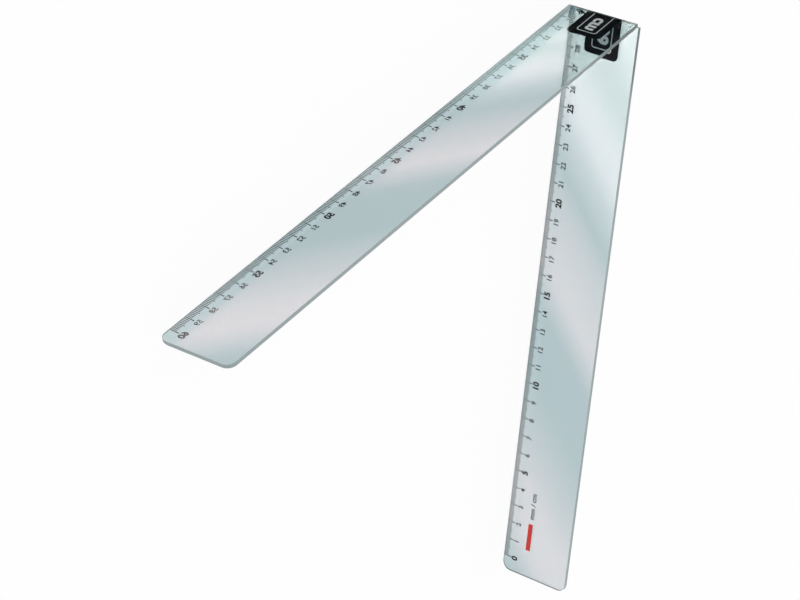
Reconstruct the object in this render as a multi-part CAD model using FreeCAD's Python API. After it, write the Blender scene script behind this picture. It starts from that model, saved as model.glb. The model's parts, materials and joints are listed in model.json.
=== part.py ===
"""A clear plastic 60 cm folding ruler, half open.

Two equal clear blades lie end to end when the ruler is flat. A flexible black label is bonded
across their front faces and is the hinge, so the blades fold front face to front face.
The ruler stands on its scale edges: +Z runs from the scale edge to the plain edge, the hinge
line is upright at +Y, and the halves open towards -Y. Sizes are in millimetres and degrees.
"""
import FreeCAD, Part
import math
import os

# Blades
SCALE_LENGTH = 300.0      # scale on each half, from the hinge line to its last mark
END_MARGIN = 8.0          # clear plastic beyond the last mark
BLADE_WIDTH = 40.0        # scale edge to plain edge
BLADE_THICKNESS = 2.0
BEVEL_WIDTH = 5.6         # sloped strip along the scale edge, on the front face
BEVEL_DEPTH = 0.8         # how much thinner the scale edge is
CORNER_RADIUS = 4.5       # the two outer corners of each half
EDGE_ROUND = 0.2          # broken edge of the moulded plastic

# Hinge
OPEN_ANGLE = 71.5         # between the front faces, as photographed
END_GAP = 0.4             # between the two blade ends when the ruler lies flat
LABEL_THICKNESS = 0.3
LABEL_START = 11.0        # scale edge to the label's lower side
LABEL_WIDTH = 19.4
LABEL_REACH = 20.0        # along each half, from the hinge line
LABEL_CORNER = 2.5
FOLD_CLEARANCE = 0.15     # hinge line to the label's inner face

# Printed marks on the sloped strip, so that the back faces lie flat on the paper
MARK_STEP = 1.0
MARKS_PER_HALF_STEP = 5
MARKS_PER_NUMBER = 10
MARK_INSET = 0.3          # scale edge to the start of every mark
MARK_LENGTH = 2.9
HALF_MARK_LENGTH = 3.7
MARK_TO_CREASE = 0.6      # end of a centimetre mark to the top of the sloped strip
MARK_LINE = 0.38          # width of a printed line
LONG_MARK_LINE = 0.48
INK_THICKNESS = 0.06

HINGE_HEIGHT = LABEL_THICKNESS + FOLD_CLEARANCE
HALF_LENGTH = SCALE_LENGTH + END_MARGIN
BACK_FACE = -HINGE_HEIGHT - BLADE_THICKNESS
HALF_ANGLE = math.radians(OPEN_ANGLE / 2)
BEVEL_SLOPE = math.degrees(math.atan2(BEVEL_DEPTH, BEVEL_WIDTH))
LONG_MARK_LENGTH = math.hypot(BEVEL_WIDTH, BEVEL_DEPTH) - MARK_INSET - MARK_TO_CREASE

AXIS_Z = FreeCAD.Vector(0, 0, 1)
ORIGIN = FreeCAD.Vector(0, 0, 0)


def vec(x, y, z=0.0):
    return FreeCAD.Vector(x, y, z)


def loop_face(points):
    return Part.Face(Part.makePolygon(points + points[:1]))


def half_plan():
    """Outline of one half seen on its face: x runs away from the hinge line, z across it."""
    start, end, top, r = END_GAP / 2, HALF_LENGTH, BLADE_WIDTH, CORNER_RADIUS
    inset = r * (1 - math.sqrt(0.5))
    low = Part.Arc(vec(end - r, 0, 0), vec(end - inset, 0, inset), vec(end, 0, r))
    high = Part.Arc(vec(end, 0, top - r), vec(end - inset, 0, top - inset), vec(end - r, 0, top))
    edges = [
        Part.makeLine(vec(start, 0, 0), vec(end - r, 0, 0)),
        low.toShape(),
        Part.makeLine(vec(end, 0, r), vec(end, 0, top - r)),
        high.toShape(),
        Part.makeLine(vec(end - r, 0, top), vec(start, 0, top)),
        Part.makeLine(vec(start, 0, top), vec(start, 0, 0)),
    ]
    face = Part.Face(Part.Wire(edges))
    face.translate(vec(0, BACK_FACE))
    return face


def blade_section():
    """Cross-section of a blade: flat back, front face sloped down to the scale edge."""
    front, back = -HINGE_HEIGHT, BACK_FACE
    return loop_face([
        vec(0, back, 0),
        vec(0, front - BEVEL_DEPTH, 0),
        vec(0, front, BEVEL_WIDTH),
        vec(0, front, BLADE_WIDTH),
        vec(0, back, BLADE_WIDTH),
    ])


def outer_edges(solid):
    """Every edge but those where the bevel meets the front face and those at the hinge end."""
    keep = []
    for edge in solid.Edges:
        box = edge.BoundBox
        on_crease = abs(box.ZMin - BEVEL_WIDTH) < 1e-3 and abs(box.ZMax - BEVEL_WIDTH) < 1e-3
        at_hinge = box.XMax < END_GAP
        upright = box.YLength > EDGE_ROUND and box.XLength < 1e-3
        if not on_crease and not at_hinge and not upright:
            keep.append(edge)
    return keep


def blade():
    plan = half_plan().extrude(vec(0, BLADE_THICKNESS))
    bar = blade_section().extrude(vec(HALF_LENGTH, 0))
    solid = plan.common(bar).Solids[0]
    return solid.makeFillet(EDGE_ROUND, outer_edges(solid))


def mark(number):
    """One printed line across the sloped strip, at its own distance from the hinge line."""
    if number % MARKS_PER_NUMBER == 0:
        length, line = LONG_MARK_LENGTH, LONG_MARK_LINE
    elif number % MARKS_PER_HALF_STEP == 0:
        length, line = HALF_MARK_LENGTH, MARK_LINE
    else:
        length, line = MARK_LENGTH, MARK_LINE
    bar = Part.makeBox(line, INK_THICKNESS, length, vec(-line / 2, 0, MARK_INSET))
    bar.rotate(ORIGIN, vec(1, 0), -BEVEL_SLOPE)
    bar.translate(vec(number * MARK_STEP, -HINGE_HEIGHT - BEVEL_DEPTH, 0))
    return bar


def graduations():
    count = int(round(SCALE_LENGTH / MARK_STEP))
    return Part.makeCompound([mark(number) for number in range(1, count + 1)])


def hinge_label():
    """The flexible strap that holds the halves together, bent round the hinge line."""
    outer, inner = HINGE_HEIGHT, FOLD_CLEARANCE
    along = vec(math.sin(HALF_ANGLE), -math.cos(HALF_ANGLE))
    away = vec(math.cos(HALF_ANGLE), math.sin(HALF_ANGLE))

    def leg_point(side, reach, height):
        point = along * reach + away * height
        return vec(side * point.x, point.y)

    rims = []
    for radius in (outer, inner):
        ends = [leg_point(side, LABEL_REACH, radius) for side in (1, -1)]
        roots = [leg_point(side, 0, radius) for side in (1, -1)]
        bend = Part.Arc(roots[0], vec(0, radius), roots[1]).toShape()
        lines = [Part.makeLine(ends[0], roots[0]), bend, Part.makeLine(roots[1], ends[1])]
        rims.append((ends, lines))
    caps = [Part.makeLine(rims[0][0][i], rims[1][0][i]) for i in (0, 1)]
    loop = Part.Wire(Part.__sortEdges__(rims[0][1] + rims[1][1] + caps))
    strap = Part.Face(loop).extrude(vec(0, 0, LABEL_WIDTH))
    strap.translate(vec(0, 0, LABEL_START))
    free = -math.cos(HALF_ANGLE) * LABEL_REACH / 2
    corners = [
        edge for edge in strap.Edges
        if abs(edge.Length - LABEL_THICKNESS) < 1e-3 and edge.CenterOfMass.y < free
    ]
    return strap.makeFillet(LABEL_CORNER, corners)


def swing_to_upper(shape):
    """From the flat drawing of one half to the half with the marks from 30 to 60."""
    turned = shape.copy()
    turned.rotate(ORIGIN, AXIS_Z, 270.0 - OPEN_ANGLE / 2)
    return turned


def mirror_to_lower(shape):
    """The half with the marks from 0 to 30 is the other's mirror image."""
    return shape.mirror(ORIGIN, vec(1, 0))


def build():
    upper_blade = swing_to_upper(blade())
    upper_marks = swing_to_upper(graduations())
    return {
        "upper_blade": upper_blade,
        "lower_blade": mirror_to_lower(upper_blade),
        "upper_graduations": upper_marks,
        "lower_graduations": mirror_to_lower(upper_marks),
        "hinge_label": hinge_label(),
    }


def stand_on_origin(nodes):
    """Moves the whole ruler so that the middle of its footprint is the origin."""
    box = FreeCAD.BoundBox()
    for shape in nodes.values():
        box.add(shape.optimalBoundingBox(False))
    offset = vec(-box.Center.x, -box.Center.y, -box.ZMin)
    for shape in nodes.values():
        shape.translate(offset)
    return offset


def main():
    nodes = build()
    hinge = stand_on_origin(nodes)
    os.makedirs("parts", exist_ok=True)
    for name, shape in nodes.items():
        shape.exportStep(f"parts/{name}.step")
        print(name, "solids", len(shape.Solids), "volume %.2f" % shape.Volume, "valid", shape.isValid())
    print("hinge line at x %.4f y %.4f" % (hinge.x, hinge.y))


main()
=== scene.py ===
"""Looks of a clear plastic folding ruler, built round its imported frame."""
import json
import math

import bmesh
import bpy
from bpy.props import FloatProperty, FloatVectorProperty, IntProperty, PointerProperty, StringProperty
from mathutils import Matrix, Vector

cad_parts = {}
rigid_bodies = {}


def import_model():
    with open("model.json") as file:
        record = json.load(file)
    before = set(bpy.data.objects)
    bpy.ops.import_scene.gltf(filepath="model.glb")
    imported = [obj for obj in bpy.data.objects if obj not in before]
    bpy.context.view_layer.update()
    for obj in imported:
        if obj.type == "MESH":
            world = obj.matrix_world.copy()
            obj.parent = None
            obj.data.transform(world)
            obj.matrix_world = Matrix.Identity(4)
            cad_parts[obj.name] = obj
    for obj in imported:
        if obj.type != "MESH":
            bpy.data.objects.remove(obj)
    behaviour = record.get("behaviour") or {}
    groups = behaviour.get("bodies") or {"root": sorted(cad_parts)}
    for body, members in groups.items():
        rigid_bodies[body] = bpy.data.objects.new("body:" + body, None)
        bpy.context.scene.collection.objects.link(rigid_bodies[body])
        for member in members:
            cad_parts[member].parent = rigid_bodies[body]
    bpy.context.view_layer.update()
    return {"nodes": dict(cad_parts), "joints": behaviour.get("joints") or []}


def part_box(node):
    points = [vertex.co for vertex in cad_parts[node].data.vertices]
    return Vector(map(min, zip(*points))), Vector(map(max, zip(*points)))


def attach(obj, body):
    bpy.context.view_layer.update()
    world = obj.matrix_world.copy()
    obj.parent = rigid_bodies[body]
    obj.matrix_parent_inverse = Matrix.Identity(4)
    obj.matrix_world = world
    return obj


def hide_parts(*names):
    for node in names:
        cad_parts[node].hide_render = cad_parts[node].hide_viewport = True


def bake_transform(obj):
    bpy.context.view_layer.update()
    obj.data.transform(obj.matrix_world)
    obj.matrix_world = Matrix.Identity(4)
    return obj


bl_info = {
    "name": "Folding Ruler",
    "version": (1, 0, 0),
    "blender": (4, 5, 0),
    "location": "View3D > Sidebar > Ruler",
    "description": "Dresses a folding clear plastic ruler and its studio",
    "category": "Object",
}

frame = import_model()

MM = 0.001
UP = Vector((0, 0, 1))
FOLD = frame["joints"][0]
HINGE = Vector((FOLD["pos_m"][0], FOLD["pos_m"][1], 0))
OPEN_ANGLE = math.radians(FOLD["range_deg"][1])
LOWER, UPPER = FOLD["parent"], FOLD["child"]

# How a blade's faces are told apart: by how much each looks along the front, or upwards
EDGE_FACING = 0.95
STRIP_FACING = (0.9, 0.999)
SCALE_EDGE_RISE = -0.6

MERGE = 0.002 * MM        # distance under which two vertices become one
TOUCH = 0.01 * MM         # distance under which a vertex counts as being at a place
RIM = 0.3 * MM            # depth of the plain edge with its broken corners
PAINTED_LIGHT_FADE = (0.4, 0.9)  # shares of the white line's inset between which the painted light over the label's print fades in
MIX_COLOURS = (6, 7)      # the colour inputs of a Mix node
MIX_RESULT = 2            # its colour output


def reach(node, direction):
    """Least and greatest distance of a node's points from the hinge line along a direction."""
    values = [(vertex.co - HINGE).dot(direction) for vertex in frame["nodes"][node].data.vertices]
    return min(values), max(values)


class Half:
    """One half of the ruler, with its own directions at rest.

    A place on it is given by s, the distance from the hinge line; u, the height over the scale
    edge; and n, the height over the front face.
    """

    def __init__(self, body, blade, side):
        self.body = body
        self.blade = blade
        self.along = Vector((side * math.sin(OPEN_ANGLE / 2), -math.cos(OPEN_ANGLE / 2), 0))
        self.front = Vector((-side * math.cos(OPEN_ANGLE / 2), -math.sin(OPEN_ANGLE / 2), 0))
        self.reading = -side * self.along
        self.back_face, self.front_face = reach(blade, self.front)
        self.length = reach(blade, self.along)[1]
        self.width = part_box(blade)[1].z

    def point(self, s, u, n):
        return HINGE + self.along * s + UP * u + self.front * (self.front_face + n)

    def drawing(self, s, u, n):
        """Takes a flat drawing, read along the scale and facing the reader, to its place."""
        turn = Matrix((self.reading, -UP, self.front)).transposed().to_4x4()
        return Matrix.Translation(self.point(s, u, n)) @ turn


# Bands of light, as places along a blade's middle in millimetres and a share of full brightness
LOWER_BANDS = (
    (-8, 1.5), (8, 1), (22, 0.76), (36, 1.03), (48, 1.33), (58, 1.3), (65, 1.18), (74, 0.72),
    (86, 0.34), (98, 0.02), (111, 0.45), (122, 0.62), (142, 0.85), (153, 0.95), (164, 0.45),
    (175, 0), (212, 0), (226, 0.18), (241, 0.38), (256, 0.62), (271, 0.92), (289, 1),
    (301, 0.85), (312, 0.42), (325, 0.04))
UPPER_BANDS = (
    (0, 0.38), (12, 0.8), (21, 0.9), (30, 0.56), (38, 0.69), (52, 0.89), (63, 0.71), (74, 0.37),
    (86, 0.17), (95, 0.09), (117, 0.36), (132, 0.51), (146, 0.7), (159, 0.37), (171, 0.05),
    (216, 0.02), (231, 0.22), (246, 0.37), (261, 0.58), (276, 0.74), (290, 0.8), (304, 0.5),
    (317, 0.1), (326, 0.02))

HALVES = {LOWER: Half(LOWER, "lower_blade", 1), UPPER: Half(UPPER, "upper_blade", -1)}
THICKNESS = HALVES[LOWER].front_face - HALVES[LOWER].back_face


class RulerPrint(bpy.types.PropertyGroup):
    """Numbers and other print on the blades."""
    cm: FloatProperty(
        name="Centimetre", description="Distance between two numbers",
        default=10 * MM, unit="LENGTH")
    halfway: IntProperty(
        name="Number at the hinge", description="Number that the fold stands at", default=30)
    number_height: FloatProperty(
        name="Number height", description="Font size of a plain number",
        default=4.0 * MM, unit="LENGTH")
    number_swell: FloatProperty(
        name="Number swell", description="How far a plain stroke swells, as a share of its size",
        default=0.016)
    bold_step: IntProperty(
        name="Bold step", description="One number in so many is bold", default=5)
    bold_height: FloatProperty(
        name="Fifth number height", description="Font size of every fifth number",
        default=4.7 * MM, unit="LENGTH")
    bold_swell: FloatProperty(
        name="Fifth number swell", description="How far a bold stroke swells, as a share of its size",
        default=0.044)
    fold_digit: FloatProperty(
        name="Digit at the fold",
        description="Hinge line to the middle of each digit beside it, as a share of its size",
        default=0.36)
    number_line: FloatProperty(
        name="Number line", description="Scale edge to the middle of the numbers",
        default=7.3 * MM, unit="LENGTH")
    ink: FloatProperty(
        name="Ink thickness", description="How far the print stands on the plastic",
        default=0.05 * MM, unit="LENGTH")
    ink_colour: FloatVectorProperty(
        name="Ink colour", description="Colour of the marks and numbers",
        subtype="COLOR", default=(0.012, 0.014, 0.015), min=0, max=1)
    bar_start: FloatProperty(
        name="Bar start", description="First end of the red bar, on the scale",
        default=7.4 * MM, unit="LENGTH")
    bar_length: FloatProperty(
        name="Bar length", description="Length of the red bar", default=15.4 * MM, unit="LENGTH")
    bar_height: FloatProperty(
        name="Bar height", description="Height of the red bar", default=2.7 * MM, unit="LENGTH")
    bar_line: FloatProperty(
        name="Bar line", description="Scale edge to the middle of the red bar",
        default=14.8 * MM, unit="LENGTH")
    bar_corner: FloatProperty(
        name="Bar corner", description="Corner radius of the red bar",
        default=0.4 * MM, unit="LENGTH")
    bar_colour: FloatVectorProperty(
        name="Bar colour", description="Colour of the red bar",
        subtype="COLOR", default=(0.62, 0.035, 0.03), min=0, max=1)
    unit: StringProperty(
        name="Unit", description="Words beside the red bar", default="mm / cm")
    unit_height: FloatProperty(
        name="Unit height", description="Font size of the unit", default=4.2 * MM, unit="LENGTH")
    unit_swell: FloatProperty(
        name="Unit swell", description="How far its strokes swell, as a share of its size",
        default=0.02)
    unit_gap: FloatProperty(
        name="Unit gap", description="Red bar's end to the middle of the unit",
        default=10.3 * MM, unit="LENGTH")


class RulerLabel(bpy.types.PropertyGroup):
    """The flexible label that is the hinge."""
    low: FloatProperty(
        name="Lower side", description="Scale edge to the label",
        default=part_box("hinge_label")[0].z, unit="LENGTH")
    high: FloatProperty(
        name="Upper side", description="Scale edge to the label's other side",
        default=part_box("hinge_label")[1].z, unit="LENGTH")
    reach: FloatProperty(
        name="Reach", description="Length of the label on each half",
        default=20 * MM, unit="LENGTH")
    corner: FloatProperty(
        name="Corner", description="Corner radius", default=2.5 * MM, unit="LENGTH")
    thickness: FloatProperty(
        name="Thickness", description="Thickness of the film", default=0.3 * MM, unit="LENGTH")
    bite: FloatProperty(
        name="Bond", description="How far the film is bonded into the plastic",
        default=0.015 * MM, unit="LENGTH")
    border_inset: FloatProperty(
        name="Border inset", description="Label's long side to the white line",
        default=4.0 * MM, unit="LENGTH")
    border_end: FloatProperty(
        name="Border end", description="Label's end to the white line",
        default=3.2 * MM, unit="LENGTH")
    border_line: FloatProperty(
        name="Border line", description="Width of the white line",
        default=0.5 * MM, unit="LENGTH")
    border_corner: FloatProperty(
        name="Border corner", description="Corner radius of the white line",
        default=1.6 * MM, unit="LENGTH")
    proud: FloatProperty(
        name="Print thickness", description="How far the white print stands on the film",
        default=0.02 * MM, unit="LENGTH")
    text_height: FloatProperty(
        name="Text height", description="Font size of the words on the label",
        default=9.6 * MM, unit="LENGTH")
    text_swell: FloatProperty(
        name="Text swell", description="How far their strokes swell, as a share of their size",
        default=0.04)
    lower_word: StringProperty(
        name="Lower word", description="Word on the lower half's leg", default="60")
    lower_word_place: FloatProperty(
        name="Lower word place", description="Hinge line to the middle of that word",
        default=9.3 * MM, unit="LENGTH")
    upper_word: StringProperty(
        name="Upper word", description="Word on the upper half's leg", default="cm")
    upper_word_place: FloatProperty(
        name="Upper word place", description="Hinge line to the middle of that word",
        default=9.0 * MM, unit="LENGTH")
    shade_fade: FloatProperty(
        name="Shade fade", description="How far past the label the edges stay darker",
        default=24 * MM, unit="LENGTH")
    film_colour: FloatVectorProperty(
        name="Film colour", description="Colour of the label",
        subtype="COLOR", default=(0.010, 0.011, 0.013), min=0, max=1)
    white: FloatVectorProperty(
        name="White print", description="Colour of the white line and words",
        subtype="COLOR", default=(0.98, 0.98, 0.98), min=0, max=1)


class RulerPlastic(bpy.types.PropertyGroup):
    """The clear blades."""
    tint: FloatVectorProperty(
        name="Tint", description="What the clear plastic leaves of white light",
        subtype="COLOR", default=(0.5, 0.62, 0.643), min=0, max=1)
    # Painted light: a clearer tint over the label's print, so that the print behind it shows brighter
    window_tint: FloatVectorProperty(
        name="Painted light over the label",
        description="What it leaves of white light where only the label's print lies behind",
        subtype="COLOR", default=(0.9, 0.98, 0.98), min=0, max=1)
    clouds: FloatProperty(
        name="Clouds", description="Tint of the deeper clouds, as a share of the tint",
        default=0.985)
    ior: FloatProperty(
        name="Refractive index", description="Index of the clear plastic", default=1.49)
    polish: FloatProperty(
        name="Roughness", description="Roughness of the moulded face", default=0.02)
    edge_colour: FloatVectorProperty(
        name="Edge colour", description="Colour of the satin edges",
        subtype="COLOR", default=(0.37, 0.44, 0.45), min=0, max=1)
    scale_edge_colour: FloatVectorProperty(
        name="Scale edge colour", description="Colour of the narrow face that stands on the paper",
        subtype="COLOR", default=(0.75, 0.8, 0.8), min=0, max=1)
    shaded_edge: FloatVectorProperty(
        name="Edge by the label",
        description="Colour of the edges that the black label takes the light from",
        subtype="COLOR", default=(0.16, 0.2, 0.2), min=0, max=1)
    edge_clouds: FloatProperty(
        name="Edge clouds", description="Colour of their deeper clouds, as a share of the colour",
        default=0.9)
    edge_polish: FloatProperty(
        name="Edge roughness", description="Roughness of the satin edges", default=0.4)
    edge_clear: FloatProperty(
        name="Edge clearness", description="Share of light that goes through the satin edges",
        default=0.25, min=0, max=1)


class RulerStudio(bpy.types.PropertyGroup):
    """Camera, floor and the soft lights that the blades mirror."""
    eye: FloatVectorProperty(
        name="Camera place", description="Where the photograph is taken from",
        subtype="TRANSLATION", default=(-1.1191, -0.2356, 0.7010))
    look: FloatVectorProperty(
        name="Camera turn", description="Camera angles in degrees",
        default=(-28.967, -52.434, 44.785))
    lens: FloatProperty(
        name="Lens", description="Focal length on a 36 mm sensor, in millimetres", default=124.83)
    floor_size: FloatProperty(
        name="Floor size", description="Side of the floor", default=8.0, unit="LENGTH")
    floor_colour: FloatVectorProperty(
        name="Floor colour", description="Colour of the floor's paint",
        subtype="COLOR", default=(0.9, 0.9, 0.9), min=0, max=1)
    floor_glow: FloatProperty(
        name="Floor glow", description="Share of the floor that shows as plain white",
        default=0.93, min=0, max=1)
    card_stretch: FloatProperty(
        name="Card distance",
        description="Mirror eye to the lights, as a multiple of its distance from the blade",
        default=3.5)
    card_margin: FloatProperty(
        name="Card margin", description="How far a light reaches past its blade",
        default=25 * MM, unit="LENGTH")
    flag_share: FloatProperty(
        name="Flag distance", description="Distance of the flags, as a share of the cards' distance",
        default=0.95)
    behind_share: FloatProperty(
        name="Flag behind", description="Distance of the flag behind, as a share of the others'",
        default=0.99)
    flag_past: FloatProperty(
        name="Flag past the fold", description="How far the label's flag reaches past the hinge line",
        default=4 * MM, unit="LENGTH")
    fold_cover: FloatProperty(
        name="Fold cover", description="How far along a half the fold's glow and flag reach",
        default=80 * MM, unit="LENGTH")
    lower_lean: FloatProperty(
        name="Lower lean", description="How far the lower bands run along for each step across",
        default=-1.157)
    upper_lean: FloatProperty(
        name="Upper lean", description="How far the upper bands run along for each step across",
        default=1.08)
    over_print: FloatVectorProperty(
        name="Over print", description="Colour that dims the upper bands over the printed scale",
        subtype="COLOR", default=(0.42, 0.62, 0.62), min=0, max=1)
    print_top: FloatProperty(
        name="Print top", description="Scale edge to where that dimming begins to fade",
        default=7 * MM, unit="LENGTH")
    print_fade: FloatProperty(
        name="Print fade", description="Width over which it fades", default=6 * MM, unit="LENGTH")
    fold_band: FloatVectorProperty(
        name="Fold band", description="Colour of the mirrored light at the fold",
        subtype="COLOR", default=(1.0, 0.92, 0.85), min=0, max=1)
    fold_reach: FloatProperty(
        name="Fold reach", description="Where the light of the fold ends, in millimetres", default=42)
    fold_glow: FloatVectorProperty(
        name="Fold glow", description="Colour of the light where one half is seen through the other",
        subtype="COLOR", default=(1.0, 0.8, 0.69), min=0, max=1)
    fold_power: FloatProperty(
        name="Fold power", description="Brightness of the light where the halves overlap",
        default=13.2)
    white_band: FloatVectorProperty(
        name="White band", description="Colour of the mirrored light past the fold",
        subtype="COLOR", default=(1.0, 0.805, 0.79), min=0, max=1)
    warm_band: FloatVectorProperty(
        name="Warm band", description="Colour of the mirrored light away from the fold",
        subtype="COLOR", default=(1.0, 0.56, 0.565), min=0, max=1)
    white_reach: FloatProperty(
        name="White reach", description="Where the white bands end, in millimetres", default=104)
    card_power: FloatProperty(
        name="Card power", description="Brightness of the mirrored lights", default=3.9)


def deselect():
    if bpy.context.mode != "OBJECT":
        bpy.ops.object.mode_set(mode="OBJECT")
    bpy.ops.object.select_all(action="DESELECT")


def take(obj):
    """Makes obj the only selected and the active object."""
    deselect()
    obj.select_set(True)
    bpy.context.view_layer.objects.active = obj


def settle(obj):
    """Puts an object's place into its mesh."""
    take(obj)
    bpy.ops.object.transform_apply(location=True, rotation=True, scale=True)


def join(objects, name):
    take(objects[0])
    for obj in objects[1:]:
        obj.select_set(True)
    if len(objects) > 1:
        bpy.ops.object.join()
    piece = bpy.context.view_layer.objects.active
    piece.name = piece.data.name = name
    return piece


def dress(obj, material):
    obj.data.materials.clear()
    obj.data.materials.append(material)


def lettering(text, height, thickness, swell):
    """A flat word in solid ink, as a mesh, with its middle at the origin."""
    deselect()
    bpy.ops.object.text_add()
    obj = bpy.context.view_layer.objects.active
    word = obj.data
    word.body = text
    word.size = height
    word.align_x, word.align_y = "CENTER", "CENTER"
    word.offset = swell * height
    word.extrude = thickness / 2
    word.resolution_u = 4
    bpy.ops.object.convert(target="MESH")
    mesh = obj.data
    low = Vector(min(v.co[i] for v in mesh.vertices) for i in range(3))
    high = Vector(max(v.co[i] for v in mesh.vertices) for i in range(3))
    mesh.transform(Matrix.Translation(-(low + high) / 2))
    return obj


def print_on(half, obj, s, u, n):
    """Lays a flat drawing on a half, its middle at s, u and n."""
    obj.data.transform(half.drawing(s, u, n))
    obj.data.update()
    return obj


def node_tree(material):
    material.use_nodes = True
    tree = material.node_tree
    tree.nodes.clear()
    out = tree.nodes.new("ShaderNodeOutputMaterial")
    return tree, out


def feed(tree, socket, value):
    """Links another socket to an input, or writes a number, vector or colour on it."""
    if isinstance(value, bpy.types.NodeSocket):
        tree.links.new(value, socket)
    elif socket.type == "RGBA":
        socket.default_value = (*value[:3], 1)
    else:
        socket.default_value = value


def maths(tree, operation, *values):
    """Result of a Math node on sockets or numbers."""
    node = tree.nodes.new("ShaderNodeMath")
    node.operation = operation
    for socket, value in zip(node.inputs, values):
        feed(tree, socket, value)
    return node.outputs["Value"]


def vector_maths(tree, operation, *values, result="Vector"):
    """Result of a Vector Math node on sockets or vectors."""
    node = tree.nodes.new("ShaderNodeVectorMath")
    node.operation = operation
    for socket, value in zip(node.inputs, values):
        feed(tree, socket, value)
    return node.outputs[result]


def parts_of(tree, vector):
    """The X, Y and Z sockets of a vector socket."""
    node = tree.nodes.new("ShaderNodeSeparateXYZ")
    tree.links.new(vector, node.inputs["Vector"])
    return node.outputs


def remap(tree, value, start, end, low=0, high=1, smooth=False):
    """A socket's value taken from the range start to end to the range low to high."""
    node = tree.nodes.new("ShaderNodeMapRange")
    node.interpolation_type = "SMOOTHSTEP" if smooth else "LINEAR"
    feed(tree, node.inputs["Value"], value)
    for label, number in (("From Min", start), ("From Max", end), ("To Min", low), ("To Max", high)):
        node.inputs[label].default_value = number
    return node.outputs["Result"]


def mixed_colour(tree, factor, first, second):
    node = tree.nodes.new("ShaderNodeMix")
    node.data_type = "RGBA"
    feed(tree, node.inputs["Factor"], factor)
    for index, colour in zip(MIX_COLOURS, (first, second)):
        feed(tree, node.inputs[index], colour)
    return node.outputs[MIX_RESULT]


def mixed_shader(tree, factor, first, second):
    node = tree.nodes.new("ShaderNodeMixShader")
    for socket, value in zip(node.inputs, (factor, first, second)):
        tree.links.new(value, socket)
    return node.outputs["Shader"]


def noise_node(tree, vector, detail, scale):
    """Value of a Noise Texture over a vector socket."""
    node = tree.nodes.new("ShaderNodeTexNoise")
    tree.links.new(vector, node.inputs["Vector"])
    node.inputs["Detail"].default_value = detail
    feed(tree, node.inputs["Scale"], scale)
    return node.outputs["Fac"]


def object_place(tree):
    """The place on the piece itself, so that a pattern moves with its half."""
    return tree.nodes.new("ShaderNodeTexCoord").outputs["Object"]


def principled(name, colour, roughness=0.5, specular=0.5):
    """A material with one main shader, and its values on the shader's own sockets."""
    material = bpy.data.materials.new(name)
    tree, out = node_tree(material)
    shader = tree.nodes.new("ShaderNodeBsdfPrincipled")
    feed(tree, shader.inputs["Base Color"], colour)
    shader.inputs["Roughness"].default_value = roughness
    shader.inputs["Specular IOR Level"].default_value = specular
    tree.links.new(shader.outputs["BSDF"], out.inputs["Surface"])
    return tree, shader


def new_group(name, inputs, outputs):
    group = bpy.data.node_groups.new(name, "ShaderNodeTree")
    for label, kind, value in inputs:
        socket = group.interface.new_socket(label, in_out="INPUT", socket_type=kind)
        socket.default_value = value
    for label, kind in outputs:
        group.interface.new_socket(label, in_out="OUTPUT", socket_type=kind)
    start = group.nodes.new("NodeGroupInput")
    end = group.nodes.new("NodeGroupOutput")
    return group, start, end


def print_grain_group():
    """Print: the colour breaks up a little and the surface is finely uneven."""
    group, start, end = new_group(
        "Print grain",
        [("Colour", "NodeSocketColor", (0, 0, 0, 1)),
         ("Worn colour", "NodeSocketColor", (0.1, 0.1, 0.1, 1)),
         ("Scale", "NodeSocketFloat", 2500.0),
         ("Wear", "NodeSocketFloat", 0.3)],
        [("Colour", "NodeSocketColor"), ("Roughness", "NodeSocketFloat"),
         ("Height", "NodeSocketFloat")])
    grain = noise_node(group, object_place(group), detail=3, scale=start.outputs["Scale"])
    worn = maths(group, "MULTIPLY", remap(group, grain, 0.5, 0.8), start.outputs["Wear"])
    colour = mixed_colour(group, worn, start.outputs["Colour"], start.outputs["Worn colour"])
    group.links.new(colour, end.inputs["Colour"])
    group.links.new(remap(group, grain, 0, 1, low=0.38, high=0.62), end.inputs["Roughness"])
    group.links.new(grain, end.inputs["Height"])


def moulded_face_group():
    """Clear moulded plastic: faint clouds in the tint, hairlines along the blade, a soft sway."""
    group, start, end = new_group(
        "Moulded face",
        [("Tint", "NodeSocketColor", (0.5, 0.6, 0.6, 1)),
         ("Deeper tint", "NodeSocketColor", (0.45, 0.55, 0.55, 1)),
         ("Polish", "NodeSocketFloat", 0.02),
         ("Wear", "NodeSocketFloat", 0.08)],
        [("Colour", "NodeSocketColor"), ("Roughness", "NodeSocketFloat"),
         ("Height", "NodeSocketFloat")])
    place = object_place(group)
    flow = noise_node(group, place, detail=1, scale=9)
    tint = mixed_colour(group, flow, start.outputs["Tint"], start.outputs["Deeper tint"])
    stretch = group.nodes.new("ShaderNodeMapping")
    stretch.inputs["Scale"].default_value = (25, 25, 1800)
    stretch.inputs["Rotation"].default_value = (0.004, 0.003, 0)
    group.links.new(place, stretch.inputs["Vector"])
    hairs = noise_node(group, stretch.outputs["Vector"], detail=4, scale=1)
    fine = remap(group, hairs, 0.62, 0.8)
    polish = maths(group, "MULTIPLY_ADD", fine, start.outputs["Wear"], start.outputs["Polish"])
    height = maths(group, "MULTIPLY_ADD", fine, -0.01, flow)
    group.links.new(tint, end.inputs["Colour"])
    group.links.new(polish, end.inputs["Roughness"])
    group.links.new(height, end.inputs["Height"])


def hinge_place(group):
    """Distance from the hinge line and height over the scale edge, as two sockets."""
    place = object_place(group)
    flat = vector_maths(group, "MULTIPLY", place, (1, 1, 0))
    away = vector_maths(group, "DISTANCE", flat, HINGE, result="Value")
    return away, parts_of(group, place)["Z"]


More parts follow.
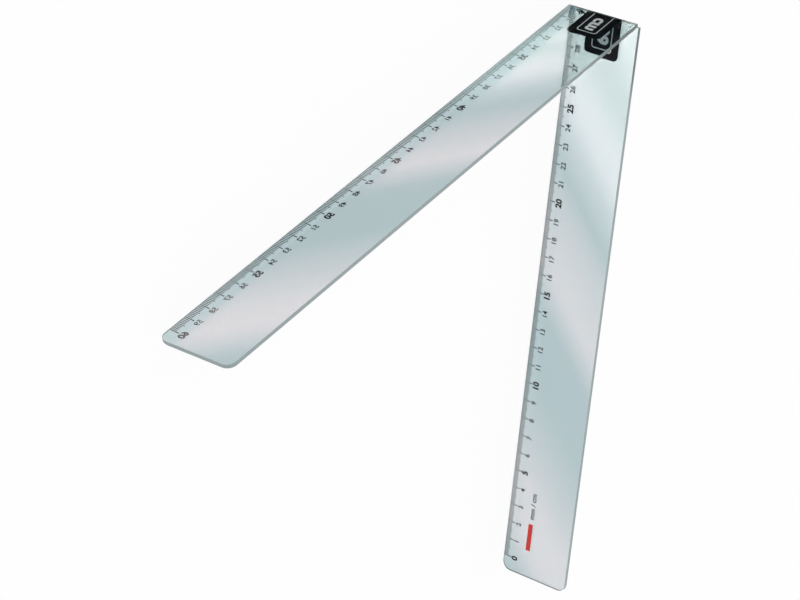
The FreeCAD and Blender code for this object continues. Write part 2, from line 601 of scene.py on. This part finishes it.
def label_shade_group(label):
    """Mask of the edges that the black label takes the light from: beside it and above it."""
    group, _, end = new_group("Label shade", [], [("Mask", "NodeSocketFloat")])
    away, height = hinge_place(group)
    near = remap(group, away, label.reach + label.shade_fade, label.reach, smooth=True)
    middle, half_width = (label.low + label.high) / 2, (label.high - label.low) / 2
    beside = maths(group, "COMPARE", height, middle, half_width)
    above = maths(group, "GREATER_THAN", height, HALVES[LOWER].width - RIM)
    mask = maths(group, "MULTIPLY", near, maths(group, "MAXIMUM", beside, above))
    group.links.new(mask, end.inputs["Mask"])


def label_window_group(label):
    """Mask of the painted light over the label's print: 1 within the white line, 0 past the label."""
    group, _, end = new_group("Painted light over label", [], [("Mask", "NodeSocketFloat")])
    away, height = hinge_place(group)
    mask = 1
    for value, side, inset in (
            (away, label.reach, -label.border_end),
            (height, label.low, label.border_inset),
            (height, label.high, -label.border_inset)):
        outer, inner = (side + share * inset for share in PAINTED_LIGHT_FADE)
        mask = maths(group, "MULTIPLY", mask, remap(group, value, outer, inner, smooth=True))
    group.links.new(mask, end.inputs["Mask"])


def add_group(tree, name, **values):
    """Places a node group in a material, with its own values."""
    node = tree.nodes.new("ShaderNodeGroup")
    node.node_tree = bpy.data.node_groups[name]
    for label, value in values.items():
        feed(tree, node.inputs[label.replace("_", " ")], value)
    return node


def add_bump(tree, shader, source, strength, distance):
    bump = tree.nodes.new("ShaderNodeBump")
    bump.inputs["Strength"].default_value = strength
    bump.inputs["Distance"].default_value = distance
    tree.links.new(source, bump.inputs["Height"])
    tree.links.new(bump.outputs["Normal"], shader.inputs["Normal"])


def print_material(name, colour, worn_colour, wear=0.5, scale=2500, specular=0.25):
    """Print that wears towards another colour."""
    tree, shader = principled(name, colour, specular=specular)
    grain = add_group(
        tree, "Print grain", Colour=colour, Worn_colour=worn_colour, Wear=wear, Scale=scale)
    tree.links.new(grain.outputs["Colour"], shader.inputs["Base Color"])
    tree.links.new(grain.outputs["Roughness"], shader.inputs["Roughness"])
    add_bump(tree, shader, grain.outputs["Height"], strength=0.3, distance=0.02 * MM)


def moulded_plastic(name, colour, clouds, polish, clear, ior, mask_name, masked_colour):
    """Moulded plastic, with another colour where a group's mask is 1."""
    tree, shader = principled(name, colour, polish)
    shader.inputs["Transmission Weight"].default_value = clear
    shader.inputs["IOR"].default_value = ior
    deeper = [clouds * value for value in colour]
    face = add_group(tree, "Moulded face", Tint=colour, Deeper_tint=deeper, Polish=polish)
    mask = add_group(tree, mask_name)
    tint = mixed_colour(tree, mask.outputs["Mask"], face.outputs["Colour"], masked_colour)
    tree.links.new(tint, shader.inputs["Base Color"])
    tree.links.new(face.outputs["Roughness"], shader.inputs["Roughness"])
    return tree, shader, face


def clear_material(plastic):
    # Over the label's print the plastic takes a clearer tint: painted light that brightens the print
    # behind it
    tree, shader, face = moulded_plastic(
        "Clear plastic", plastic.tint, clouds=plastic.clouds, polish=plastic.polish, clear=1,
        ior=plastic.ior, mask_name="Painted light over label", masked_colour=plastic.window_tint)
    add_bump(tree, shader, face.outputs["Height"], strength=0.15, distance=0.2 * MM)


def edge_material(name, colour, plastic):
    moulded_plastic(
        name, colour, clouds=plastic.edge_clouds, polish=plastic.edge_polish,
        clear=plastic.edge_clear, ior=plastic.ior, mask_name="Label shade",
        masked_colour=plastic.shaded_edge)


class RULER_OT_materials(bpy.types.Operator):
    """Makes the finishes: clear plastic, satin edges, inks, label film and white print"""
    bl_idname = "ruler.materials"
    bl_label = "Finishes"

    def execute(self, context):
        scene = context.scene
        prints, label, plastic = scene.ruler_print, scene.ruler_label, scene.ruler_plastic
        print_grain_group()
        moulded_face_group()
        label_window_group(label)
        label_shade_group(label)
        clear_material(plastic)
        edge_material("Satin edge", plastic.edge_colour, plastic)
        edge_material("Scale edge", plastic.scale_edge_colour, plastic)
        print_material("Black ink", prints.ink_colour, worn_colour=(0.05, 0.055, 0.06))
        print_material("Red ink", prints.bar_colour, worn_colour=(0.7, 0.12, 0.1))
        print_material(
            "Label film", label.film_colour, worn_colour=(0.02, 0.022, 0.025), wear=0.6,
            scale=1800, specular=0.1)
        print_material("White print", label.white, worn_colour=(0.85, 0.85, 0.85), wear=0.3)
        return {"FINISHED"}


class RULER_OT_blades(bpy.types.Operator):
    """Gives the two blades their clear plastic and the printed marks their ink"""
    bl_idname = "ruler.blades"
    bl_label = "Blades and marks"

    def execute(self, context):
        for half in HALVES.values():
            blade = frame["nodes"][half.blade]
            dress(blade, bpy.data.materials["Clear plastic"])
            blade.data.materials.append(bpy.data.materials["Satin edge"])
            blade.data.materials.append(bpy.data.materials["Scale edge"])
            for polygon in blade.data.polygons:
                on_edge = abs(polygon.normal.dot(half.front)) < EDGE_FACING
                on_scale_edge = on_edge and polygon.normal.z < SCALE_EDGE_RISE
                polygon.material_index = int(on_edge) + int(on_scale_edge)
        for node in ("lower_graduations", "upper_graduations"):
            dress(frame["nodes"][node], bpy.data.materials["Black ink"])
        return {"FINISHED"}


def numeral(prints, half, text, s, bold):
    height = prints.bold_height if bold else prints.number_height
    swell = prints.bold_swell if bold else prints.number_swell
    digits = lettering(text, height, prints.ink, swell)
    return print_on(half, digits, s, prints.number_line, prints.ink / 2)


class RULER_OT_numbers(bpy.types.Operator):
    """Prints the centimetre numbers of both halves; the middle one straddles the fold"""
    bl_idname = "ruler.numbers"
    bl_label = "Numbers"

    def execute(self, context):
        prints = context.scene.ruler_print
        middle = prints.halfway
        straddle = str(middle)
        beside = prints.fold_digit * prints.bold_height
        for half, digit, name, sign in (
                (HALVES[LOWER], straddle[0], "lower_numbers", -1),
                (HALVES[UPPER], straddle[1], "upper_numbers", 1)):
            made = [numeral(prints, half, digit, beside, True)]
            for step in range(1, middle + 1):
                number = middle + sign * step
                bold = number % prints.bold_step == 0
                made.append(numeral(prints, half, str(number), step * prints.cm, bold))
            piece = join(made, name)
            dress(piece, bpy.data.materials["Black ink"])
            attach(piece, half.body)
        return {"FINISHED"}


class RULER_OT_unit_bar(bpy.types.Operator):
    """Prints a plain red bar and the unit beside it, near the scale's start"""
    bl_idname = "ruler.unit_bar"
    bl_label = "Unit bar"

    def execute(self, context):
        prints = context.scene.ruler_print
        half = HALVES[LOWER]
        scale_start = prints.halfway * prints.cm
        middle = scale_start - prints.bar_start - prints.bar_length / 2
        deselect()
        bpy.ops.mesh.primitive_cube_add(size=1, location=(0, 0, 0))
        bar = bpy.context.view_layer.objects.active
        bar.name = bar.data.name = "red_bar"
        bar.scale = (prints.bar_length, prints.bar_height, prints.ink)
        settle(bar)
        bpy.ops.object.mode_set(mode="EDIT")
        mesh = bmesh.from_edit_mesh(bar.data)
        for edge in mesh.edges:
            run = edge.verts[0].co - edge.verts[1].co
            edge.select_set(abs(run.z) > abs(run.x) + abs(run.y))
        mesh.select_flush_mode()
        bmesh.update_edit_mesh(bar.data)
        bpy.ops.mesh.bevel(offset=prints.bar_corner, segments=5, affect="EDGES")
        bpy.ops.object.mode_set(mode="OBJECT")
        print_on(half, bar, middle, prints.bar_line, prints.ink / 2)
        dress(bar, bpy.data.materials["Red ink"])
        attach(bar, half.body)
        unit = lettering(prints.unit, prints.unit_height, prints.ink, prints.unit_swell)
        unit_place = middle - prints.bar_length / 2 - prints.unit_gap
        print_on(half, unit, unit_place, prints.bar_line, prints.ink / 2)
        unit.name = unit.data.name = "unit_word"
        dress(unit, bpy.data.materials["Black ink"])
        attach(unit, half.body)
        return {"FINISHED"}


def select_verts(obj, test):
    """In edit mode, selects the vertices that pass a test on their place."""
    mesh = bmesh.from_edit_mesh(obj.data)
    mesh.select_mode = {"VERT"}
    for vertex in mesh.verts:
        vertex.select_set(test(vertex.co))
    mesh.select_flush_mode()
    bmesh.update_edit_mesh(obj.data)


def round_corners(obj, half, s, corner):
    """Rounds a strap's two corners at its end on one half."""
    select_verts(obj, lambda co: abs((co - HINGE).dot(half.along) - s) < TOUCH)
    bpy.ops.mesh.bevel(offset=corner, segments=8, affect="VERTICES")


def bent_strap(name, reach_s, low, high, corner):
    """A sheet on the lower half's front face that bends round the hinge to the upper half's."""
    lower, upper = HALVES[LOWER], HALVES[UPPER]
    deselect()
    bpy.ops.mesh.primitive_plane_add(size=1)
    obj = bpy.context.view_layer.objects.active
    obj.name = obj.data.name = name
    places = [
        lower.point(reach_s, low, 0), lower.point(0, low, 0),
        lower.point(reach_s, high, 0), lower.point(0, high, 0)]
    for vertex, place in zip(obj.data.vertices, places):
        vertex.co = place
    bpy.ops.object.mode_set(mode="EDIT")
    bpy.ops.mesh.select_mode(type="VERT")
    select_verts(obj, lambda co: abs((co - HINGE).dot(lower.along)) < TOUCH)
    turn = math.pi - OPEN_ANGLE
    bpy.ops.mesh.spin(steps=16, angle=-turn, center=HINGE, axis=UP)
    root = upper.point(0, 0, 0)
    select_verts(obj, lambda co: (co.xy - root.xy).length < TOUCH)
    leg = upper.along * reach_s
    bpy.ops.mesh.extrude_region_move(TRANSFORM_OT_translate={"value": leg})
    for half in (lower, upper):
        round_corners(obj, half, reach_s, corner)
    bpy.ops.mesh.select_all(action="SELECT")
    bpy.ops.mesh.remove_doubles(threshold=MERGE)
    bpy.ops.mesh.normals_make_consistent(inside=False)
    bpy.ops.object.mode_set(mode="OBJECT")
    return obj


def faces_inwards(obj):
    """Turns a strap's faces so that they look into the fold, as the front faces do."""
    face = max(obj.data.polygons, key=lambda polygon: polygon.area)
    front = HALVES[LOWER].front if face.center.x > HINGE.x else HALVES[UPPER].front
    if face.normal.dot(front) < 0:
        take(obj)
        bpy.ops.object.mode_set(mode="EDIT")
        bpy.ops.mesh.select_all(action="SELECT")
        bpy.ops.mesh.flip_normals()
        bpy.ops.object.mode_set(mode="OBJECT")


def thicken(obj, below, above):
    """Gives a sheet a body from below to above its own surface, towards its faces' side."""
    faces_inwards(obj)
    take(obj)
    wall = obj.modifiers.new("Wall", "SOLIDIFY")
    wall.thickness = below + above
    wall.offset = (above - below) / (above + below)
    wall.use_even_offset = True
    bpy.ops.object.modifier_apply(modifier=wall.name)


def fold_with_hinge(piece):
    """Puts a strap's place into its mesh."""
    root = HALVES[LOWER].point(0, 0, 0)
    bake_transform(piece)


class RULER_OT_label(bpy.types.Operator):
    """Makes the black label that holds the halves together, bent round the fold"""
    bl_idname = "ruler.label"
    bl_label = "Hinge label"

    def execute(self, context):
        label = context.scene.ruler_label
        strap = bent_strap("folding_label", label.reach, label.low, label.high, label.corner)
        thicken(strap, label.bite, label.thickness)
        dress(strap, bpy.data.materials["Label film"])
        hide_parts("hinge_label")
        fold_with_hinge(strap)
        return {"FINISHED"}


class RULER_OT_label_print(bpy.types.Operator):
    """Prints the white line and the plain words on the label"""
    bl_idname = "ruler.label_print"
    bl_label = "Label print"

    def execute(self, context):
        label = context.scene.ruler_label
        proud = label.proud
        line = bent_strap(
            "label_line", label.reach - label.border_end, label.low + label.border_inset,
            label.high - label.border_inset, label.border_corner)
        take(line)
        bpy.ops.object.mode_set(mode="EDIT")
        bpy.ops.mesh.select_all(action="SELECT")
        bpy.ops.mesh.inset(thickness=label.border_line, use_boundary=True)
        bpy.ops.mesh.delete(type="FACE")
        bpy.ops.object.mode_set(mode="OBJECT")
        thicken(line, label.bite + proud, label.thickness + proud)
        dress(line, bpy.data.materials["White print"])
        fold_with_hinge(line)
        depth = label.thickness + label.bite + 2 * proud
        middle_n = (label.thickness - label.bite) / 2
        middle_u = (label.low + label.high) / 2
        for half, text, s in (
                (HALVES[LOWER], label.lower_word, label.lower_word_place),
                (HALVES[UPPER], label.upper_word, label.upper_word_place)):
            word = lettering(text, label.text_height, depth, label.text_swell)
            print_on(half, word, s, middle_u, middle_n)
            word.name = word.data.name = "label_word_" + half.body
            dress(word, bpy.data.materials["White print"])
            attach(word, half.body)
        return {"FINISHED"}


def plain_light(tree, colour=(1, 1, 1), strength=1):
    glow = tree.nodes.new("ShaderNodeEmission")
    feed(tree, glow.inputs["Color"], colour)
    glow.inputs["Strength"].default_value = strength
    return glow.outputs["Emission"]


def clear_shader(tree):
    return tree.nodes.new("ShaderNodeBsdfTransparent").outputs["BSDF"]


def seen_directly(tree):
    """1 for camera rays and rays that a clear face has mirrored or let through, else 0."""
    path = tree.nodes.new("ShaderNodeLightPath").outputs
    first = maths(tree, "MAXIMUM", path["Is Camera Ray"], path["Is Transmission Ray"])
    return maths(tree, "MAXIMUM", first, path["Is Glossy Ray"])


def after_mirror(tree):
    """1 for rays that a clear face has mirrored, and which see the lights below the floor."""
    path = tree.nodes.new("ShaderNodeLightPath").outputs
    return maths(tree, "MINIMUM", path["Glossy Depth"], 1)


def floor_material(studio):
    """White paint that shows as plain white, keeps shadows and lets mirrored rays through."""
    material = bpy.data.materials.new("Floor")
    tree, out = node_tree(material)
    paint = tree.nodes.new("ShaderNodeBsdfDiffuse")
    feed(tree, paint.inputs["Color"], studio.floor_colour)
    share = maths(tree, "MULTIPLY", seen_directly(tree), studio.floor_glow)
    white = mixed_shader(tree, share, paint.outputs["BSDF"], plain_light(tree))
    surface = mixed_shader(tree, after_mirror(tree), white, clear_shader(tree))
    tree.links.new(surface, out.inputs["Surface"])
    return material


def lay_floor(studio):
    """Lays the white floor, which mirror rays pass on their way to the lights below it."""
    deselect()
    bpy.ops.mesh.primitive_plane_add(size=studio.floor_size)
    floor = bpy.context.view_layer.objects.active
    floor.name = "floor"
    floor.visible_glossy = False
    dress(floor, floor_material(studio))


def light_room(scene):
    """Sets an even white room all round."""
    world = bpy.data.worlds.new("Room")
    world.use_nodes = True
    room = world.node_tree.nodes["Background"]
    room.inputs["Color"].default_value = (1, 1, 1, 1)
    room.inputs["Strength"].default_value = 1
    scene.world = world


def soft_border(tree, place, along, across):
    """1 inside a card's border and 0 at its outline; the border is a share of each side."""
    centred = vector_maths(tree, "SUBTRACT", place, (0.5, 0.5, 0))
    away = parts_of(tree, vector_maths(tree, "ABSOLUTE", centred))
    ends = remap(tree, away["X"], 0.5, 0.5 - along, smooth=True)
    sides = remap(tree, away["Y"], 0.5, 0.5 - across, smooth=True)
    return maths(tree, "MULTIPLY", ends, sides)


def card_material(name, stops, lean, half, studio, over_print=(1, 1, 1)):
    """Light whose brightness runs in soft slanting bands, written as places on the blade.

    Over the printed scale it is dimmed by the colour over_print, so that the ink stays dark.
    """
    material = bpy.data.materials.new(name)
    tree, out = node_tree(material)
    place = tree.nodes.new("ShaderNodeUVMap").outputs["UV"]
    margin = studio.card_margin
    length = half.length + 2 * margin
    width = half.width + 2 * margin
    slant = lean * width / length
    run = vector_maths(tree, "DOT_PRODUCT", place, (1, slant, 0), result="Value")
    ramp = tree.nodes.new("ShaderNodeValToRGB")
    tree.links.new(maths(tree, "SUBTRACT", run, slant / 2), ramp.inputs["Fac"])
    steps = ramp.color_ramp.elements
    while len(steps) < len(stops):
        steps.new(0.5)
    for step, (s, share) in zip(steps, stops):
        step.position = (s * MM + margin) / length
        colour = studio.white_band if s < studio.white_reach else studio.warm_band
        if s < studio.fold_reach:
            colour = studio.fold_band
        step.color = (*[share * value for value in colour], 1)
    fade_start = (margin + studio.print_top) / width
    fade_end = (margin + studio.print_top + studio.print_fade) / width
    past_print = remap(tree, parts_of(tree, place)["Y"], fade_start, fade_end, smooth=True)
    share = mixed_colour(tree, past_print, over_print, (1, 1, 1))
    bands = vector_maths(tree, "MULTIPLY", ramp.outputs["Color"], share)
    border = soft_border(tree, place, margin / length, margin / width)
    light = plain_light(tree, bands, studio.card_power)
    surface = mixed_shader(tree, border, clear_shader(tree), light)
    tree.links.new(surface, out.inputs["Surface"])
    return material


def glow_material(name, colour, strength):
    material = bpy.data.materials.new(name)
    tree, out = node_tree(material)
    tree.links.new(plain_light(tree, colour, strength), out.inputs["Surface"])
    return material


class Mirror:
    """A flat face of a blade, as the mirror in which the camera sees a light."""

    def __init__(self, half, n, eye, tilt=0.0):
        facing = half.front if n > -THICKNESS / 2 else -half.front
        self.normal = (facing * math.cos(tilt) + UP * math.sin(tilt)).normalized()
        self.place = half.point(0, 0, n)
        self.eye = eye
        self.far_eye = eye - 2 * (eye - self.place).dot(self.normal) * self.normal

    def card_point(self, place, stretch):
        """Where a light has to be, for the camera to see it over a place on or behind the face."""
        ray = place - self.eye
        seen = self.eye + ray * ((self.place - self.eye).dot(self.normal) / ray.dot(self.normal))
        return self.far_eye + stretch * (seen - self.far_eye)


def hang(name, mirror, places, stretch, material):
    """A four-cornered card over four places, that only rays from clear faces see."""
    deselect()
    bpy.ops.mesh.primitive_plane_add(size=1)
    card = bpy.context.view_layer.objects.active
    card.name = card.data.name = name
    for vertex, place in zip(card.data.vertices, places):
        vertex.co = mirror.card_point(place, stretch)
    for ray in ("camera", "diffuse", "volume_scatter", "shadow"):
        setattr(card, "visible_" + ray, False)
    dress(card, material)


def slope_of(half):
    """Angle between a half's front face and the sloped strip along its scale edge."""
    polygons = frame["nodes"][half.blade].data.polygons
    least, most = STRIP_FACING
    slopes = [polygon for polygon in polygons if least < polygon.normal.dot(half.front) < most]
    widest = max(slopes, key=lambda polygon: polygon.area)
    return math.copysign(half.front.angle(widest.normal), widest.normal.z)


def corners(half, s, u, n):
    """Four places over a stretch s of a half, from its first to its second height u."""
    return [half.point(s[i], u[j], n) for j in (0, 1) for i in (0, 1)]


def hang_lights(studio, label):
    """Hangs the soft lights that show as slanting bands in the blades, and the dark flags."""
    lower, upper = HALVES[LOWER], HALVES[UPPER]
    eye = Vector(studio.eye)
    lower_bands = card_material("Lower bands", LOWER_BANDS, studio.lower_lean, lower, studio)
    upper_bands = card_material(
        "Upper bands", UPPER_BANDS, studio.upper_lean, upper, studio, studio.over_print)
    near = Mirror(lower, 0, eye)
    slope = Mirror(lower, 0, eye, slope_of(lower))
    far = Mirror(upper, -THICKNESS, eye)
    margin, cards = studio.card_margin, studio.card_stretch
    s = (-margin, lower.length + margin)
    u = (-margin, lower.width + margin)
    hang("card_lower", near, corners(lower, s, u, 0), cards, lower_bands)
    hang("card_strip", slope, corners(lower, s, u, 0), cards, lower_bands)
    hang("card_upper", far, corners(upper, s, u, -THICKNESS), cards, upper_bands)
    dark = glow_material("Flag", (0, 0, 0), 0)
    glow = glow_material("Fold glow", studio.fold_glow, studio.fold_power)
    flags = studio.flag_share * cards
    over_label = corners(upper, (-studio.flag_past, label.reach), (label.low, label.high), 0)
    hang("flag_upper", far, over_label, flags, dark)
    by_fold = (-MM, studio.fold_cover)
    behind = corners(lower, by_fold, (0, lower.width), 0)
    hang("flag_behind", far, behind, studio.behind_share * flags, dark)
    overlap = corners(upper, by_fold, (-MM, upper.width), -THICKNESS / 2)
    hang("glow_overlap", near, overlap, flags, glow)
    hang("glow_strip", slope, overlap, flags, glow)


def place_camera(scene, studio):
    """Sets the camera at the photograph's place."""
    deselect()
    bpy.ops.object.camera_add(
        location=studio.eye, rotation=[math.radians(angle) for angle in studio.look])
    camera = bpy.context.view_layer.objects.active
    camera.data.sensor_width = 36
    camera.data.lens = studio.lens
    camera.data.clip_start = 0.05
    camera.data.clip_end = 50
    scene.camera = camera
    scene.view_settings.view_transform = "Standard"


class RULER_OT_stage(bpy.types.Operator):
    """Sets the camera, the white floor and room, and the lights that the blades mirror"""
    bl_idname = "ruler.stage"
    bl_label = "Stage"

    def execute(self, context):
        scene = context.scene
        place_camera(scene, scene.ruler_studio)
        lay_floor(scene.ruler_studio)
        light_room(scene)
        hang_lights(scene.ruler_studio, scene.ruler_label)
        return {"FINISHED"}


class RULER_PT_tools(bpy.types.Panel):
    """Lists the steps that dress the ruler, in order"""
    bl_idname = "RULER_PT_tools"
    bl_label = "Folding ruler"
    bl_space_type = "VIEW_3D"
    bl_region_type = "UI"
    bl_category = "Ruler"

    def draw(self, context):
        for step in STEPS:
            self.layout.operator(step.bl_idname)


GROUPS = {
    "ruler_print": RulerPrint, "ruler_label": RulerLabel,
    "ruler_plastic": RulerPlastic, "ruler_studio": RulerStudio}
STEPS = (
    RULER_OT_materials, RULER_OT_stage, RULER_OT_blades, RULER_OT_numbers, RULER_OT_unit_bar,
    RULER_OT_label, RULER_OT_label_print)


def register():
    for cls in (*GROUPS.values(), *STEPS, RULER_PT_tools):
        bpy.utils.register_class(cls)
    for name, cls in GROUPS.items():
        setattr(bpy.types.Scene, name, PointerProperty(type=cls))


def unregister():
    for name in GROUPS:
        delattr(bpy.types.Scene, name)
    for cls in (RULER_PT_tools, *reversed(STEPS), *reversed(tuple(GROUPS.values()))):
        bpy.utils.unregister_class(cls)


def main():
    register()
    for step in STEPS:
        group, name = step.bl_idname.split(".")
        getattr(getattr(bpy.ops, group), name)()


if __name__ == "__main__":
    main()
